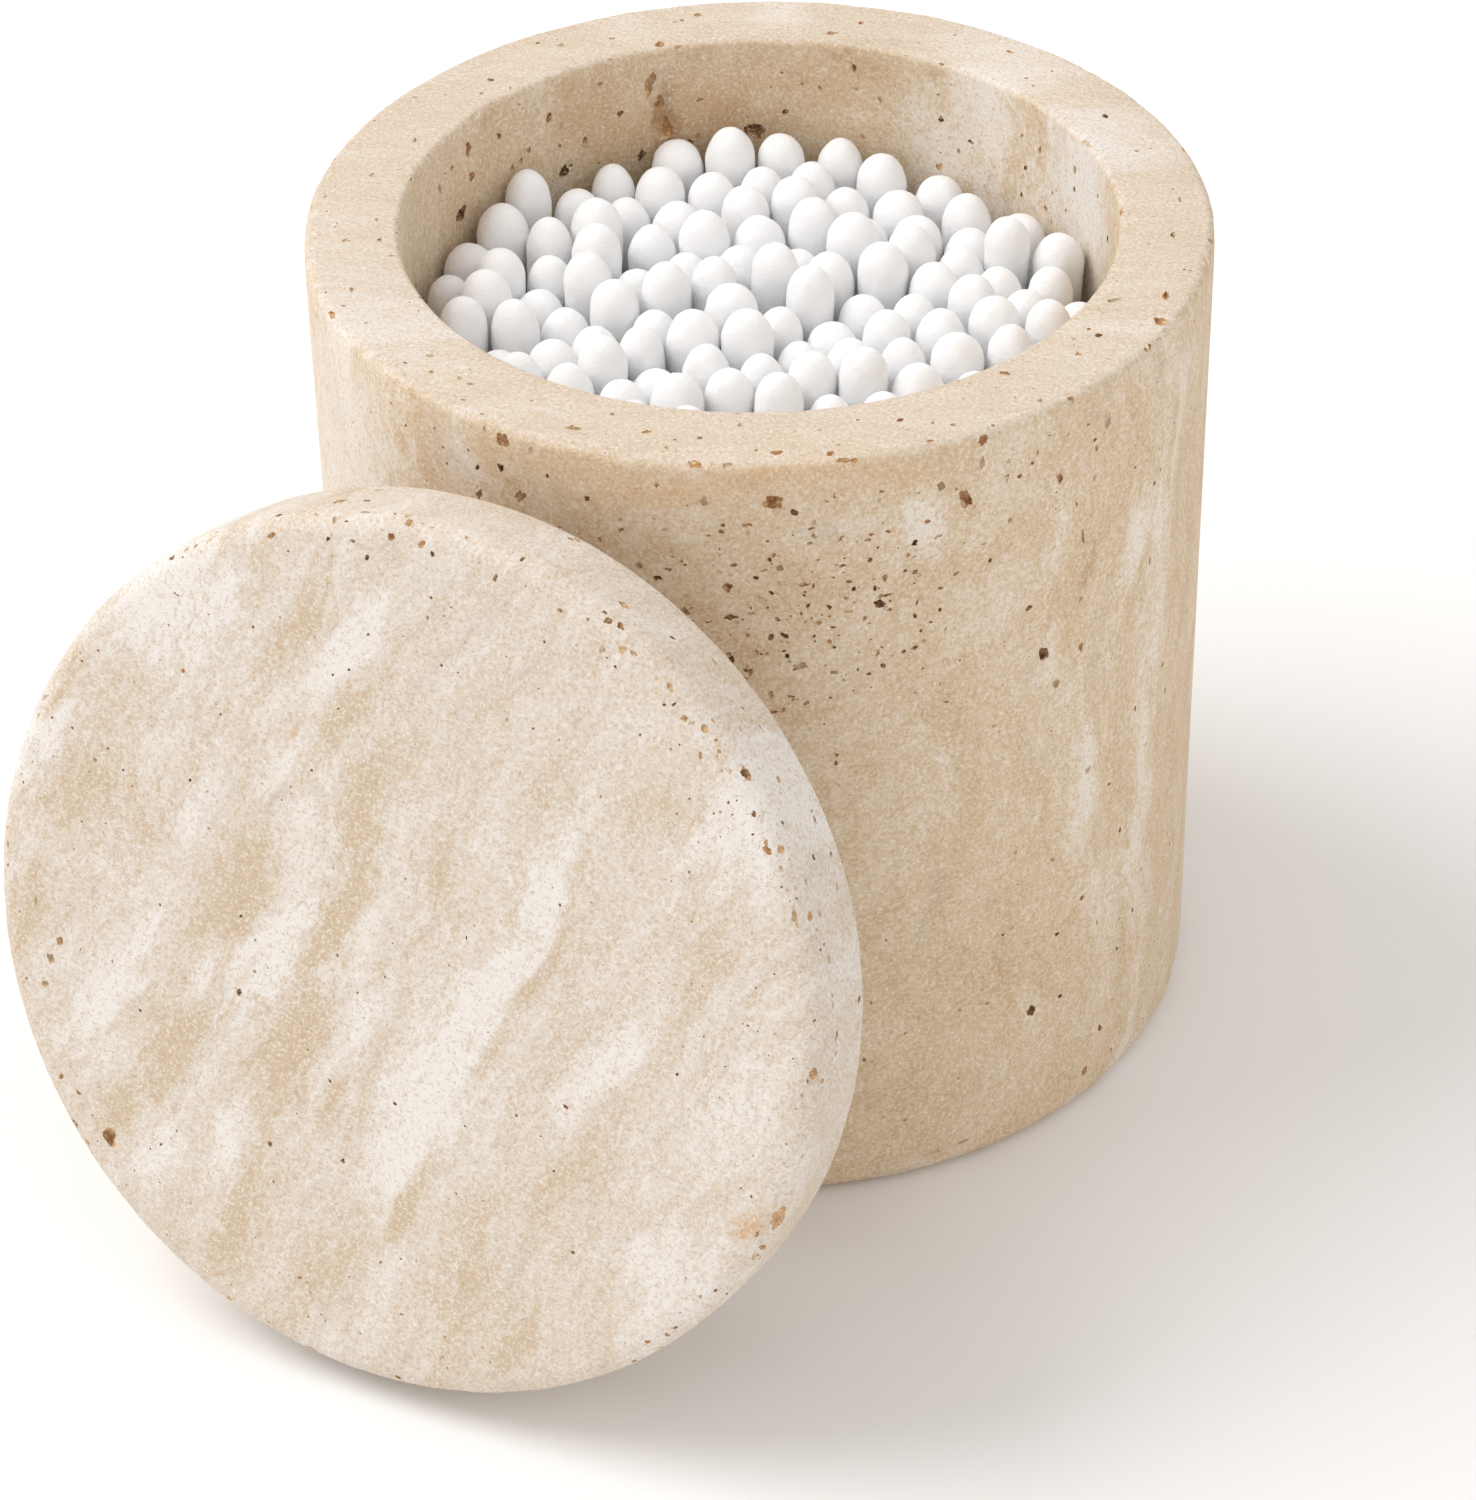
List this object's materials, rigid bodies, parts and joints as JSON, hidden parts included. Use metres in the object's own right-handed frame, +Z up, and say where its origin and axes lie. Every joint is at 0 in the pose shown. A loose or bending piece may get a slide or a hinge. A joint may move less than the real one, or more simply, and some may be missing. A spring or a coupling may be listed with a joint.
{
  "type": "cotton swab holder",
  "caption": "Round stone jar with a thick wall, packed with upright cotton swabs, its matching round lid taken off and leaning against its front.",
  "frame": {"origin": "centre of the cup's base, on the floor", "axes": "+Z up along the cup's axis, out of its mouth; the lid leans on the -Y side with its underside towards the cup; +X to the right of someone who faces the leaning lid"},
  "size_m": [0.1042, 0.1425, 0.1],
  "materials": {
    "cup_stone": "honed travertine, satin",
    "lid_stone": "honed travertine, satin",
    "paper_stick": "matte rolled paper",
    "cotton": "matte wound cotton"
  },
  "bodies": {
    "root": {"cup": "cup_stone", "lid": "lid_stone", "sticks_row_01": "paper_stick", "sticks_row_02": "paper_stick", "sticks_row_03": "paper_stick", "sticks_row_04": "paper_stick", "sticks_row_05": "paper_stick", "sticks_row_06": "paper_stick", "sticks_row_07": "paper_stick", "sticks_row_08": "paper_stick", "sticks_row_09": "paper_stick", "sticks_row_10": "paper_stick", "sticks_row_11": "paper_stick", "sticks_row_12": "paper_stick", "sticks_row_13": "paper_stick", "upper_tips_row_01": "cotton", "upper_tips_row_02": "cotton", "upper_tips_row_03": "cotton", "upper_tips_row_04": "cotton", "upper_tips_row_05": "cotton", "upper_tips_row_06": "cotton", "upper_tips_row_07": "cotton", "upper_tips_row_08": "cotton", "upper_tips_row_09": "cotton", "upper_tips_row_10": "cotton", "upper_tips_row_11": "cotton", "upper_tips_row_12": "cotton", "upper_tips_row_13": "cotton", "lower_tips_row_01": "cotton", "lower_tips_row_02": "cotton", "lower_tips_row_03": "cotton", "lower_tips_row_04": "cotton", "lower_tips_row_05": "cotton", "lower_tips_row_06": "cotton", "lower_tips_row_07": "cotton", "lower_tips_row_08": "cotton", "lower_tips_row_09": "cotton", "lower_tips_row_10": "cotton", "lower_tips_row_11": "cotton", "lower_tips_row_12": "cotton", "lower_tips_row_13": "cotton"}
  },
  "joints": []
}
